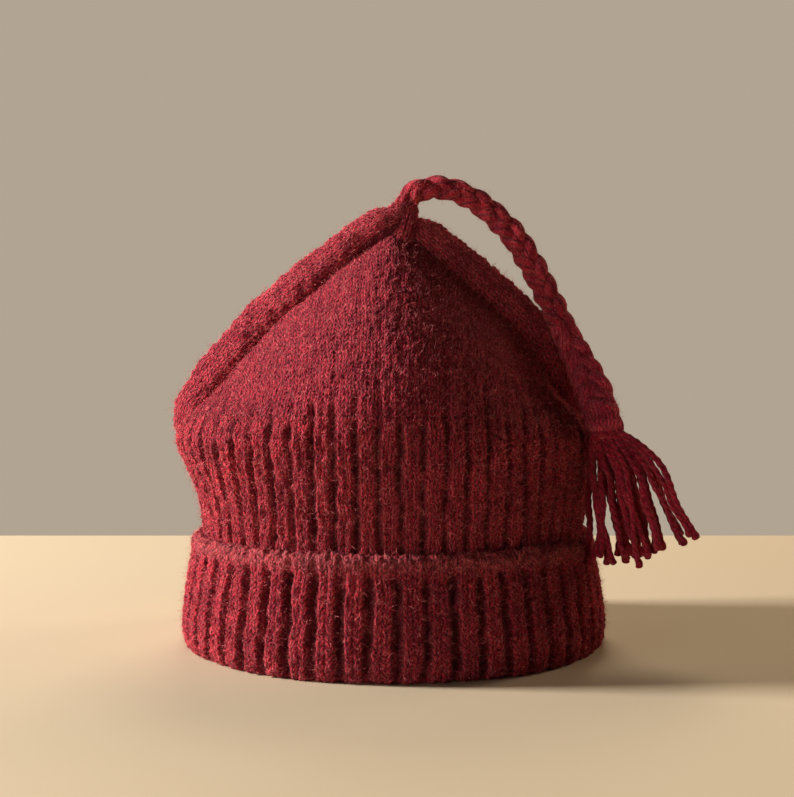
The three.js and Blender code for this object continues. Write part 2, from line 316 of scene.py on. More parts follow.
# Twisted yarn: rounded plies that wind round a strand.
plies, given, result = new_group(
    "yarn plies",
    [("Place", "NodeSocketVector", None), ("Lean", "NodeSocketFloat", 1.0)],
    [("Height", "NodeSocketFloat")])
split = plies.nodes.new("ShaderNodeSeparateXYZ")
plies.links.new(given["Place"], split.inputs[0])
wound = calc(plies, "MULTIPLY", split.outputs["Y"], given["Lean"])
turn = calc(plies, "FRACT", calc(plies, "ADD", split.outputs["X"], wound))
offset = calc(plies, "SUBTRACT", calc(plies, "MULTIPLY", turn, 2.0), 1.0)
squared = calc(plies, "MULTIPLY", offset, offset)
dome = calc(plies, "SQRT", calc(plies, "SUBTRACT", 1.0, squared, clamp=True))
plies.links.new(dome, result["Height"])


def wool_material(name, texture, settings, wool, deep, bright, relief, sheen):
    """Dull woollen material. texture is the group that gives the yarn's height. wool, deep and
    bright colour its top, its hollows and its loose fibres, and relief is in millimetres."""
    material = bpy.data.materials.new(name)
    material.use_nodes = True
    tree = material.node_tree
    surface = tree.nodes["Principled BSDF"]
    where = tree.nodes.new("ShaderNodeUVMap")
    where.uv_map = "stitches"
    depth = tree.nodes.new("ShaderNodeAttribute")
    depth.attribute_name = "depth"
    yarn = tree.nodes.new("ShaderNodeGroup")
    yarn.node_tree = texture
    tree.links.new(where.outputs["UV"], yarn.inputs["Place"])
    for socket, value in settings.items():
        yarn.inputs[socket].default_value = value
    wool_look = tree.nodes.new("ShaderNodeGroup")
    wool_look.node_tree = fibres
    tree.links.new(yarn.outputs["Height"], wool_look.inputs["Yarn Height"])
    tree.links.new(depth.outputs["Fac"], wool_look.inputs["Depth"])
    # Deep Wool is painted shade in the hollows, and also the colour of the few dark fibres.
    wool_look.inputs["Wool"].default_value = (*wool, 1)
    wool_look.inputs["Deep Wool"].default_value = (*deep, 1)
    wool_look.inputs["Bright Fibres"].default_value = (*bright, 1)
    tree.links.new(wool_look.outputs["Colour"], surface.inputs["Base Color"])
    bump = tree.nodes.new("ShaderNodeBump")
    bump.inputs["Strength"].default_value = 1.0
    bump.inputs["Distance"].default_value = relief * MM
    tree.links.new(wool_look.outputs["Height"], bump.inputs["Height"])
    tree.links.new(bump.outputs["Normal"], surface.inputs["Normal"])
    surface.inputs["Roughness"].default_value = 0.92
    surface.inputs["Specular IOR Level"].default_value = 0.06
    surface.inputs["Sheen Weight"].default_value = sheen
    surface.inputs["Sheen Roughness"].default_value = 0.45
    surface.inputs["Sheen Tint"].default_value = (1.0, 0.38, 0.38, 1)
    return material


cord_wool = wool_material(
    "cord_wool", plies, {"Lean": 0.8}, (0.56, 0.030, 0.055), (0.13, 0.005, 0.018),
    (0.95, 0.30, 0.32), 0.8, 0.35)
cord_line = smooth_line(CORD_ROUTE, LINE_STEP)
cord_length = lengths_along(cord_line)


def plait(line, swing, lift, radius, repeat, sides, columns, row):
    """Three strands plaited round a line. Swing, lift and radius may change along it."""
    length = lengths_along(line)
    _, side, up = frames_along(line, (1, 0, 0))
    angle = np.arange(sides) * 2 * math.pi / sides
    strands = []
    for strand in range(3):
        phase = length / repeat * 2 * math.pi + strand * 2 * math.pi / 3
        middle = line + side * (swing * np.sin(phase))[:, None] + up * (lift * np.sin(2 * phase))[:, None]
        lobes = 1 + 0.07 * np.cos(4 * angle[None, :] + length[:, None] * 0.9)
        rings = round_bar(middle, lobes * np.broadcast_to(radius, length.shape)[:, None], sides, (1, 0, 0))
        places = bar_stitches(rings, columns, row, sides)
        strands.append(cloth_patch(rings, places, (strand / 3, 0, (strand + 0.98) / 3, 1)))
    return strands


# The plait is worked more loosely towards the tassel.
slack = 1 + 0.14 * smooth_step(cord_length, 30, 80)
arched = smooth_step(cord_length, 3, 12) * (1 - smooth_step(cord_length, 62, 78))
plait_line = cord_line - arched[:, None] * (0, 0, PLAIT_SETTLE)
strands = plait(
    plait_line, PLAIT_SWING * slack, PLAIT_LIFT * slack, STRAND_RADIUS * slack, PLAIT_REPEAT,
    STRAND_SIDES, STRAND_COLUMNS, STRAND_ROW)
cord = wool_piece("plaited_cord", strands, cord_wool)
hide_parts("cord")

# ---- Tassel: a thick plaited head, a knot, and loose yarn strands ----
# The three strands of the cord are doubled and plaited on, thicker and looser, and end in a round
# knot. The loose strands are bound in under the knot and fan out over the shoulder of the hat.
HEAD_LINE = [
    (82.2, -10.0, 151.0), (84.8, -12.5, 144.8), (88.0, -15.6, 137.8), (91.9, -20.6, 128.2),
    (94.9, -25.8, 119.8), (96.6, -30.2, 112.0), (97.2, -33.0, 107.0),
]
HEAD_STRAND = [(0, 3.3), (20, 3.9), (40, 4.5), (50, 4.3)]      # length along, radius
HEAD_REPEAT = 30
HEAD_SWING = 0.95           # side to side, as a share of a strand's radius
HEAD_LIFT = 0.6
HEAD_SIDES = 24
HEAD_COLUMNS = 6
KNOT_LINE = [
    (96.0, -28.4, 115.6), (96.6, -30.4, 112.2), (97.1, -32.4, 109.0), (97.4, -34.0, 106.4),
    (97.5, -35.4, 103.8), (97.4, -36.4, 101.2), (97.4, -37.0, 99.2),
]
KNOT_RADII = [5.6, 8.2, 9.0, 8.2, 8.9, 7.8, 5.4]
KNOT_COLUMNS = 15
KNOT_SIDES = 72
KNITTED_ROW = 3.0
TIE = np.array((97.4, -36.8, 100.4))        # where the yarns are bound in under the knot
# A share of a yarn's length, its turn from straight down on the hat's side and on the outer side,
# in degrees, and how much of its layer's way forward it has gone.
YARN_LINE = [
    (0, -26, 62, 0), (0.14, -14, 59, 0.45), (0.3, -7, 52, 0.8), (0.5, -3, 42, 1),
    (0.72, 0, 35, 1), (1, 1, 31, 1),
]
YARN_LENGTH = 59
YARN_RADIUS = 1.4
YARN_SIDES = 8
YARN_COLUMNS = 3
YARN_ROW = 4.2
SPREAD_AT_TIE = 6.2
TIE_TURNS = 3.2
TIE_RADIUS = 6.2
TIE_YARN = 1.05
TIE_SIDES = 10
# Each layer of strands: how many, how far forward, and the share of the fan it covers.
YARN_LAYERS = [(12, 9.0, 0.0, 1.0), (10, 3.0, 0.02, 0.85), (6, -4.0, 0.3, 0.9)]

# Knitted stitches: two rounded legs of yarn to a stitch, which lean apart into a V.
stitched, given, result = new_group(
    "knitted stitches",
    [("Place", "NodeSocketVector", None), ("Lean", "NodeSocketFloat", 1.0)],
    [("Height", "NodeSocketFloat")])
split = stitched.nodes.new("ShaderNodeSeparateXYZ")
stitched.links.new(given["Place"], split.inputs[0])
stray = speckle(stitched, given["Place"], 1.3, 2, 0.6)
stray = calc(stitched, "SUBTRACT", stray, 0.5)
across = calc(stitched, "ADD", split.outputs["X"], calc(stitched, "MULTIPLY", stray, 0.5))
upward = calc(stitched, "ADD", split.outputs["Y"], calc(stitched, "MULTIPLY", stray, 1.2))
centred = calc(stitched, "SUBTRACT", calc(stitched, "FRACT", across), 0.5)
from_middle = calc(stitched, "MULTIPLY", calc(stitched, "ABSOLUTE", centred), 2.0)
leant = calc(stitched, "MULTIPLY", from_middle, given["Lean"])
climb = calc(stitched, "FRACT", calc(stitched, "SUBTRACT", upward, leant))


def leg_round(share):
    """The rounding of a leg of yarn, over a share from one edge of it to the other."""
    off_middle = calc(stitched, "SUBTRACT", calc(stitched, "MULTIPLY", share, 2.0), 1.0)
    squared = calc(stitched, "MULTIPLY", off_middle, off_middle)
    return calc(stitched, "SQRT", calc(stitched, "SUBTRACT", 1.0, squared, clamp=True))


rounded = calc(stitched, "MULTIPLY", leg_round(from_middle), leg_round(climb))
stitched.links.new(rounded, result["Height"])


def stitch_height(places, lean):
    """The same stitches as a height, for shaping a mesh: 1 on top of a leg, 0 between legs."""
    from_middle = 2 * np.abs(places[..., 0] - np.floor(places[..., 0]) - 0.5)
    climb = places[..., 1] - lean * from_middle
    climb = climb - np.floor(climb)
    across_leg = np.sqrt(np.clip(1 - (2 * from_middle - 1) ** 2, 0, 1))
    return across_leg * np.sqrt(np.clip(1 - (2 * climb - 1) ** 2, 0, 1))


def raise_stitches(rings, places, lean, amount):
    """Pushes the rings of a round bar outwards where a leg of yarn stands."""
    middle = rings.mean(axis=1)[:, None]
    spoke = rings - middle
    length = np.linalg.norm(spoke, axis=-1)[..., None]
    height = stitch_height(places[:, :-1], lean)[..., None] - 0.6
    return rings + spoke / np.maximum(length, 0.5) * height * amount * np.clip(length / 3, 0, 1)


tassel_wool = wool_material(
    "tassel_wool", plies, {"Lean": 1.0}, (0.50, 0.018, 0.052), (0.14, 0.004, 0.020),
    (0.85, 0.16, 0.22), 0.6, 0.35)
# Painted light: the tassel's head is the same wool as the cord and strands, given paler colours so that it
# looks lit, though it hangs in the hat's shade.
head_wool = wool_material(
    "head_wool", stitched, {"Lean": 1.0}, (0.92, 0.055, 0.11), (0.40, 0.014, 0.055),
    (1.0, 0.42, 0.46), 0.8, 0.4)


def radii_along(line, points, radii):
    """The radius all along a smooth line, from the radii at the points that it was drawn through."""
    stations = lengths_along(np.array(points, float))
    length = lengths_along(line)
    return read_table(np.column_stack([stations, radii]), length * stations[-1] / length[-1])


head_line = smooth_line(HEAD_LINE, LINE_STEP)
strand_radius = read_table(HEAD_STRAND, lengths_along(head_line))[:, 0]
patches = plait(
    head_line, strand_radius * HEAD_SWING, strand_radius * HEAD_LIFT, strand_radius, HEAD_REPEAT,
    HEAD_SIDES, HEAD_COLUMNS, KNITTED_ROW)
for patch in patches:
    patch["tile"] = (*patch["tile"][:3], 0.68)      # the knot has the rest of the tile
knot_line = smooth_line(KNOT_LINE, 0.6)
around = np.arange(KNOT_SIDES)[None, :] * 2 * math.pi / KNOT_SIDES
lumpy = 1 + 0.07 * np.sin(3 * around + lengths_along(knot_line)[:, None] * 0.5)
rings = round_bar(knot_line, radii_along(knot_line, KNOT_LINE, KNOT_RADII) * lumpy, KNOT_SIDES, (1, 0, 0))
places = bar_stitches(rings, KNOT_COLUMNS, KNITTED_ROW, KNOT_SIDES)
rings = raise_stitches(rings, places, 1.0, 0.9)
patches.append(cloth_patch(rings, places, (0, 0.7, 1, 1)))
head = wool_piece("tassel_head", patches, head_wool)

rng = np.random.default_rng(7)
lines = []
along = np.linspace(0, 1, 40)
inner, outer, gone_forward = read_table(YARN_LINE, along).T
for count, forward, first, last in YARN_LAYERS:
    for k in range(count):
        share = first + (last - first) * (k + rng.uniform(-0.35, 0.35)) / (count - 1)
        share = min(max(share, 0.0), 1.0)
        turn = np.radians(inner + (outer - inner) * share + rng.uniform(-7, 7) * along)
        reach = along * YARN_LENGTH * rng.uniform(0.93, 1.02)
        sway = np.sin(along * rng.uniform(5, 9) + rng.uniform(0, 6)) * along
        curl = np.sin(along * rng.uniform(12, 19) + rng.uniform(0, 6)) * np.minimum(along * 3, 1)
        from_side = SPREAD_AT_TIE * (2 * share - 0.9) + rng.uniform(-0.8, 0.8)
        line = TIE + np.column_stack([
            from_side + np.sin(turn) * reach + sway * rng.uniform(-2.0, 2.0) + curl * 0.45,
            -(forward + rng.uniform(-2.5, 2.5)) * gone_forward + sway * rng.uniform(-1.5, 1.5)
            - forward * 0.3,
            -np.cos(turn) * reach + 1.5 * abs(from_side) / SPREAD_AT_TIE,
        ])
        lines.append(smooth_line(line, 1.0))
yarns = []
angle = np.arange(YARN_SIDES) * 2 * math.pi / YARN_SIDES
for k, line in enumerate(lines):
    length = lengths_along(line)
    lobes = 1 + 0.13 * np.cos(3 * angle[None, :] - length[:, None] * 1.5 + k)
    frayed = 0.95 + 0.3 * smooth_step(length, length[-1] - 5, length[-1])
    thick = YARN_RADIUS * rng.uniform(0.88, 1.15) * frayed
    rings = round_bar(line, lobes * thick[:, None], YARN_SIDES, (0, 1, 0))
    places = bar_stitches(rings, YARN_COLUMNS, YARN_ROW, YARN_SIDES)
    tile = (k / len(lines), 0, (k + 0.96) / len(lines), 0.9)
    yarns.append(cloth_patch(rings, places, tile))
turns = np.linspace(0, TIE_TURNS * 2 * math.pi, 150)
ahead, side, up = frames_along(knot_line, (1, 0, 0))
tie = knot_line[-1] - ahead[-1] * (1.2 - turns[:, None] * 0.1)
wrap = tie + (side[-1] * np.cos(turns)[:, None] + up[-1] * np.sin(turns)[:, None]) * TIE_RADIUS
rings = round_bar(wrap, TIE_YARN, TIE_SIDES, (0, 0, 1))
places = bar_stitches(rings, YARN_COLUMNS, YARN_ROW, TIE_SIDES)
yarns.append(cloth_patch(rings, places, (0, 0.92, 1, 1)))
fringe = wool_piece("tassel_strands", yarns, tassel_wool)
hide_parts("tassel")
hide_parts("tassel")

# ---- Body: the ribbed wall, two knit columns and a purl furrow all the way round ----
# Thick red wool yarn, brushed. The wall starts inside the cuff and swells out to the shoulder.
HAT_AXIS = 1.2
FABRIC = 5.0
CROWN_FROM = 110
MESH_COLUMNS = 720
EDGE_UNDER_ROLL = 3
# Height, half the width on the left and on the right, and half the depth.
WALL = [
    (5.3, 95.4, 95.4, 95.4), (20, 94.2, 94.2, 94.2), (36, 92.4, 92.4, 92.4), (49, 91.2, 91.2, 91.2),
    (56, 91.9, 91.2, 91.4), (70, 94.0, 93.8, 94.0), (84, 99.6, 94.8, 96.4), (98, 104.8, 94.0, 97.6),
    (110, 101.8, 90.8, 95.8), (121, 91.0, 82.6, 90.5), (131, 81.6, 76.4, 83.0), (142, 71.0, 69.0, 72.5),
    (154, 59.4, 59.4, 60.0), (164, 47.0, 47.0, 48.8), (173, 36.2, 36.2, 38.4), (183, 23.4, 23.4, 27.0),
    (192, 11.0, 11.0, 15.0), (197, 5.0, 5.0, 8.0),
]
WALL_IN_CUFF = [5.3, 20, 36, 47]        # heights of the plain rows that the cuff hides
WALL_LINING = [CROWN_FROM, 98, 84, 70, 56, 36, 20, 5.3]
RIBBED_FROM = 49
WALL_WAIST = 91.2
WALL_RIBS = 60
WALL_FIRST_FURROW = math.radians(2.2)
WALL_FURROW = 1.3           # how deep a furrow is pulled
WALL_NARROW = 0.66          # and the share of the way from a rib's middle where it starts
STITCH_COLUMNS = 3          # to a rib: two knit and one for the furrow
BODY_ROW = 2.6


def wall_points(azimuth, height, outward):
    """Points on the wall, moved outward by a distance. All three are rows by columns. Above the
    shoulder the wall's section narrows from an oval to a lens, with its edges inside the rolls."""
    shape = np.broadcast_shapes(azimuth.shape, height.shape)
    sizes = read_table(WALL, height[:, 0])
    azimuth = np.broadcast_to(azimuth, shape)
    sine, cosine = np.sin(azimuth), np.cos(azimuth)
    under_roll = EDGE_UNDER_ROLL * smooth_step(height, 108, 130) * (1 - smooth_step(height, 176, 197))
    width = np.where(sine < 0, sizes[:, 0:1], sizes[:, 1:2]) + under_roll
    depth = np.broadcast_to(sizes[:, 2:3], shape)
    lens = 1 + 0.95 * smooth_step(height, 97, 126)
    along = np.sign(cosine) * np.abs(cosine) ** lens
    across = HAT_AXIS + (width + outward) * sine
    forward = -(depth + outward) * along
    return np.stack([across, forward, np.broadcast_to(height, shape)], axis=-1)


def column_azimuth(azimuth, height):
    """Where round the wall a column of stitches stands. The columns run straight up the front and
    back, so that what the wall gains in width goes to its two edges."""
    shape = np.broadcast_shapes(azimuth.shape, height.shape)
    sine = np.broadcast_to(np.sin(azimuth), shape)
    sizes = read_table(WALL, height[:, 0])
    gain = np.maximum(np.where(sine < 0, sizes[:, 0:1], sizes[:, 1:2]) / WALL_WAIST - 1, 0)
    moved = sine * (1 + gain * sine ** 2) / (1 + gain)
    turned = np.arcsin(np.clip(moved, -1, 1))
    return np.where(np.cos(azimuth) < 0, math.pi - turned, turned)


def drift(azimuth, height, turns, rise, seed):
    """A slow, even wandering from -1 to 1 over the knitting, which closes round the hat."""
    total = 0
    for k in range(1, 5):
        lean = math.sin(seed * 12.9 + k * 78.2)
        wave = azimuth * round(turns * k * 0.8) + height * (rise * (k + lean)) + seed * k * 2.3
        total = total + np.sin(wave) / k
    return total / 2.1


def tufts(points, size, seed):
    """Soft lumps of about one size all over the wool, from -1 to 1."""
    rng = np.random.default_rng(seed)
    total = 0
    for _ in range(20):
        way = rng.normal(size=3)
        way *= 2 * math.pi / size * rng.uniform(0.7, 1.4) / np.linalg.norm(way)
        total = total + np.sin(points @ way + rng.uniform(0, 2 * math.pi))
    return np.clip(total / 6, -1, 1)


def wool_lumps(points):
    """Unevenness of the brushed wool, in lumps a little taller than wide."""
    return 0.65 * tufts(points * (1, 1, 0.55), 3.6, 43)


def rib_relief(azimuth, row, ribs, first, furrow, narrow, strength, lean):
    """A ribbed surface: its relief, its place in the stitches, and its depth from 1 down to 0.
    The furrow starts at the share narrow of the way from the middle of a rib."""
    place = (azimuth - first) / (2 * math.pi) * ribs
    from_crest = np.abs(place - np.floor(place) - 0.5) * 2
    low = smooth_step(from_crest, narrow, 0.94) * strength
    off_column = np.clip(np.abs(from_crest - 0.35) / 0.38, 0, 1)
    rounding = (np.sqrt(1 - off_column ** 2) - 1) * (0.3 + 0.7 * strength)
    across = place * STITCH_COLUMNS - 0.5 + STITCH_COLUMNS * ribs
    stitches = np.stack(np.broadcast_arrays(across, row + 0 * across), axis=-1)
    legs = stitch_height(stitches, lean) - 0.7
    relief = 1.4 * rounding - furrow * low + (1.3 - 0.2 * strength) * legs
    return relief, stitches, 1 - low + 0.4 * rounding


azimuth = (np.arange(MESH_COLUMNS) + 0.5) * 2 * math.pi / MESH_COLUMNS + WALL_FIRST_FURROW
azimuth_after = np.append(azimuth, azimuth[0] + 2 * math.pi)[None, :]
azimuth = azimuth[None, :]


def rib_unevenness(azimuth, height):
    """How deep the furrows are pulled: brushed wool bridges some of them for a stitch or two."""
    bridges = tufts(wall_points(azimuth, height, 0), 9, 41)
    return 0.8 + 0.2 * drift(azimuth, height, 9, 0.05, 3) + 0.45 * bridges


def rib_fade(azimuth, height):
    """The ribs lose themselves in the plain knitting over the shoulder, some sooner than others."""
    return 1 - smooth_step(height + 7 * drift(azimuth, 0 * height, 31, 0, 8), 92, 130)


def rib_wander(azimuth, height):
    """The columns of stitches stray a little to either side on their way up."""
    stray = tufts(wall_points(azimuth, height, 0), 16, 42)
    return azimuth + 0.007 * drift(azimuth, height, 7, 0.06, 1) + 0.007 * stray


def wall_relief(azimuth, row, strength):
    return rib_relief(
        azimuth, row, WALL_RIBS, WALL_FIRST_FURROW, WALL_FURROW, WALL_NARROW, strength, 1.0)


def body_skin(height, azimuth):
    """Relief of the ribbed wall at a height: the ribs flatten out over the shoulder."""
    strength = smooth_step(height, 46, 56) * rib_fade(azimuth, height)
    strength = strength * rib_unevenness(azimuth, height)
    return wall_relief(rib_wander(azimuth, height), height / BODY_ROW, strength)


fine = np.arange(RIBBED_FROM, CROWN_FROM + 0.01, BODY_ROW / 3)
fine = np.append(fine[:-1], CROWN_FROM)
outer = np.concatenate([WALL_IN_CUFF, fine])[:, None]
inner = np.array(WALL_LINING)[:, None]
sunk, _, depth = body_skin(outer, azimuth)
stitches = body_skin(outer, azimuth_after)[1]
hidden = outer < RIBBED_FROM
column = column_azimuth(azimuth, outer)
lumps = wool_lumps(wall_points(column, outer, 0)) + 0.4 * drift(azimuth, outer, 6, 0.05, 5)
sunk = np.where(hidden, -0.8, sunk + lumps)
skin = wall_points(column, outer, sunk)
lining = wall_points(azimuth, inner, np.full(inner.shape, -FABRIC))
lining_stitches = body_skin(inner, azimuth_after)[1]
points = np.concatenate([skin, lining])
depth = np.concatenate([np.where(hidden, -1, depth), np.full((len(inner), MESH_COLUMNS), -1)])
stitches = np.concatenate([stitches, lining_stitches])
ribbed_wool = wool_material(
    "ribbed_wool", stitched, {"Lean": 1.0}, (0.67, 0.033, 0.062), (0.12, 0.004, 0.018),
    (1.0, 0.38, 0.38), 1.1, 0.22)
knitting = cloth_patch(points, stitches, depth=depth, ring=True)
body = wool_piece("ribbed_body", [knitting], ribbed_wool)
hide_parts("body")

# ---- Cuff: the ribbed brim, folded outwards at the bottom and up ----
# The same yarn in wider ribs, since the cuff is stretched over the wall. The fold is pressed flat
# where the hat stands, and the cast-off edge at the top curls into a soft rim.
CUFF_RIBS = 52
CUFF_FIRST_FURROW = math.radians(1.1)
CUFF_FURROW = 2.6
CUFF_NARROW = 0.54
CUFF_COLUMNS = 624
CUFF_ROW = 2.6
# Half-section of the cuff's outer leaf, radius and height, from the mouth round to the rim.
CUFF_LEAF = [
    (91.6, 3.2), (92.6, 1.0), (94.4, 0.1), (96.4, 0.0), (98.3, 0.1), (100.0, 1.3), (101.2, 4.2),
    (101.7, 9.0), (101.5, 14.0), (100.7, 22.0), (99.4, 30.0), (98.3, 37.5), (97.2, 42.5), (96.8, 46.4),
    (96.3, 49.2), (95.1, 51.2), (93.7, 52.3), (92.2, 52.1),
]
CUFF_LINING = [(92.2, 49), (92.4, 45), (93.8, 36), (95.6, 20), (96.6, 8), (96.3, 5.2), (91.8, 5.2)]
LINING_TRAVEL = (75, 130)   # where the lining's rows start and end in the knitting
leaf = np.array(CUFF_LEAF)
flat_line = smooth_line(np.column_stack([leaf, np.zeros(len(leaf))]), CUFF_ROW / 3)
radius = np.concatenate([flat_line[:, 0], np.array(CUFF_LINING)[:, 0]])[:, None]
height = np.concatenate([flat_line[:, 1], np.array(CUFF_LINING)[:, 1]])[:, None]
lining_travel = np.linspace(*LINING_TRAVEL, len(CUFF_LINING))
travel = np.concatenate([lengths_along(flat_line), lining_travel])[:, None]
cuff_turn = (np.arange(CUFF_COLUMNS) + 0.5) * 2 * math.pi / CUFF_COLUMNS + CUFF_FIRST_FURROW
cuff_turn_after = np.append(cuff_turn, cuff_turn[0] + 2 * math.pi)[None, :]
cuff_turn = cuff_turn[None, :]
tip = np.gradient(np.column_stack([radius[:, 0], height[:, 0]]), axis=0)
tip /= np.linalg.norm(tip, axis=1)[:, None]
out_radius, out_height = tip[:, 1:2], -tip[:, 0:1]
lined = np.arange(len(radius))[:, None] >= len(flat_line)


def cuff_place(turn, out=0):
    """Points on the cuff, moved out square to its surface by a distance."""
    reach = radius + out_radius * out
    up = np.maximum(height + out_height * out, 0) + 0 * turn
    return np.stack([HAT_AXIS + reach * np.sin(turn), -reach * np.cos(turn), up], axis=-1)


def cuff_skin(turn):
    """Relief of the cuff: its ribs start past the pressed fold and end under the rim. Its stitches
    point down, since this is the knitting's far end turned up."""
    strength = smooth_step(travel, 5.5, 15) * (1 - 0.95 * smooth_step(height, 42.0, 47.0))
    bridges = tufts(cuff_place(turn), 9, 44)
    strength = strength * (0.82 + 0.2 * drift(turn, travel, 8, 0.07, 11) + 0.4 * bridges)
    wander = turn + 0.007 * drift(turn, travel, 7, 0.07, 9) + 0.006 * tufts(cuff_place(turn), 16, 45)
    return rib_relief(
        wander, travel / CUFF_ROW, CUFF_RIBS, CUFF_FIRST_FURROW, CUFF_FURROW, CUFF_NARROW, strength, -1.0)


sunk, _, depth = cuff_skin(cuff_turn)
stitches = cuff_skin(cuff_turn_after)[1]
flat = smooth_step(travel, 4, 9)
cast_off = smooth_step(height, 46, 50.5) * np.abs(np.sin(cuff_turn * CUFF_RIBS * 1.5 + 0.35 * travel))
lumps = 0.6 * tufts(cuff_place(cuff_turn), 3.6, 46) + 0.5 * drift(cuff_turn, travel, 6, 0.06, 15)
points = cuff_place(cuff_turn, np.where(lined, 0, (sunk + (lumps + cast_off)) * flat))
# Painted highlight: depth rises over 1 towards the cast-off rim, so the rim is painted paler.
depth = np.where(lined, -1, depth + smooth_step(height, 42, 50))
knitting = cloth_patch(points, stitches, depth=depth, ring=True)
cuff = wool_piece("ribbed_cuff", [knitting], ribbed_wool)
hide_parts("cuff")

# ---- Crown: plain knitting that narrows to the peak ----
# The same yarn, knitted on without ribs. The columns of stitches run straight up and end at the
# seams on either side, so the crown closes like an envelope.
CROWN_TOP = 197
HOLLOW_TOP = 188
CROWN_LINING = [HOLLOW_TOP, 186, 176, 164, 152, 140, 125, CROWN_FROM]
SLANT_FABRIC = 5.6
CROWN_ROW = 2.9
STRAIGHT_TO = math.radians(50)      # past this, the columns are spread evenly to the seam
SIDE_SLOPE = math.cos(STRAIGHT_TO)


def column_reach(turn):
    """How far round from the middle of its face a column stands, for a wall of radius one."""
    return np.where(turn < STRAIGHT_TO, np.sin(np.minimum(turn, STRAIGHT_TO)),
                    math.sin(STRAIGHT_TO) + (turn - STRAIGHT_TO) * SIDE_SLOPE)


def column_turn(reach):
    """The turn from the middle of a face at which a column of that reach stands."""
    edge = math.sin(STRAIGHT_TO)
    return np.where(reach < edge, np.arcsin(np.clip(reach, 0, edge)),
                    STRAIGHT_TO + (reach - edge) / SIDE_SLOPE)


fine = np.linspace(CROWN_FROM, CROWN_TOP, 400)
slope = lengths_along(np.column_stack([read_table(WALL, fine)[:, 2], fine, 0 * fine]))
travel = np.arange(0, slope[-1], CROWN_ROW / 3)
outer = np.interp(travel, slope, fine)[:, None]
sizes = read_table(WALL, outer[:, 0])
face = np.round(azimuth / math.pi) * math.pi        # the middle of the front or of the back
face_turn = np.abs(np.arcsin(np.sin(column_azimuth(azimuth, outer[:1]))))
girth = (sizes[:, 2] / sizes[0, 2])[:, None]
narrowed = column_turn(column_reach(face_turn) / girth)
seam = narrowed >= math.pi / 2
turned = face + np.sign(azimuth - face) * np.minimum(narrowed, math.pi / 2)
rib_strength = rib_fade(azimuth, outer) * rib_unevenness(azimuth, outer)
row = (CROWN_FROM / BODY_ROW) + travel[:, None] / CROWN_ROW
sunk, _, depth = wall_relief(rib_wander(azimuth, outer), row, rib_strength)
stitches = wall_relief(rib_wander(azimuth_after, outer), row, 0)[1]
plain = wall_points(turned, outer, 0)
sunk = sunk + (0.4 + 0.5 * smooth_step(outer, 115, 130)) * drift(azimuth, outer, 6, 0.05, 5)
sunk = sunk + wool_lumps(plain)
skin = wall_points(turned, outer, np.where(seam, 0, sunk))
inner = np.array(CROWN_LINING)[:, None]
lining = wall_points(azimuth, inner, np.full(inner.shape, -SLANT_FABRIC))
lining[0] = (HAT_AXIS, 0, HOLLOW_TOP)
peak = skin[-1:] * (0, 0, 1) + (HAT_AXIS, 0, 0.5)
points = np.concatenate([lining, skin, peak])
lining_stitches = np.stack(np.broadcast_arrays(stitches[:1, :, 0], -inner / CROWN_ROW), axis=-1)
stitches = np.concatenate([lining_stitches, stitches, stitches[-1:]])
depth = np.concatenate([np.full((len(inner), MESH_COLUMNS), -1), depth, depth[-1:]])
plain_wool = wool_material(
    "plain_wool", stitched, {"Lean": 1.0}, (0.67, 0.033, 0.066), (0.12, 0.004, 0.022),
    (1.0, 0.38, 0.40), 1.3, 0.22)
knitting = cloth_patch(points, stitches, depth=depth)
crown = wool_piece("plain_crown", [knitting], plain_wool)
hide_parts("crown")

# ---- Seam rolls: a knitted roll along each side seam, joined over the peak ----
# The crown's edge, in the same yarn, is rolled on itself and sewn down. Its columns of stitches
# run along the roll.
ROLL_COLUMNS = 18
ROLL_SIDES = 80
ROLL_ROW = 3.0
RIGHT_FORWARD = 0.6         # the right roll's share of the way forward
# Height, and how far forward of the seam the left roll's middle stands.
ROLL_FORWARD = [(98, 8.5), (114, 8.0), (132, 5.0), (154, 2.5), (175, 1.5), (205, 1.5)]
ROLL_THICKNESS = 0.84       # front to back, as a share of its height off the seam
# Height, how far the roll stands off the wall, and its radius.
SEAM_ROLL = [
    (98, -0.6, 8.0), (106, 1.8, 10.8), (114, 6.0, 13.2), (123, 9.6, 14.2), (132, 11.8, 14.6),
    (142, 12.7, 14.8), (154, 13.0, 14.8), (164, 13.8, 14.6), (174, 13.8, 13.8), (183, 13.5, 12.1),
    (192, 13.6, 10.2),
]
ROLL_WEDGE = 1.5            # 2 is an oval, and 1 a wedge with flat sides
# Where the left roll (-1) and the right roll (1) go over the peak: places and radii.
PEAK = {
    -1: [
        (-4.6, -3.0, 199.8, 9.2), (2.2, -2.4, 203.2, 7.8), (6.6, -1.2, 208.8, 5.8),
        (9.4, -0.4, 213.0, 3.7),
    ],
    1: [(8.6, 0, 199.6, 6.6)],
}


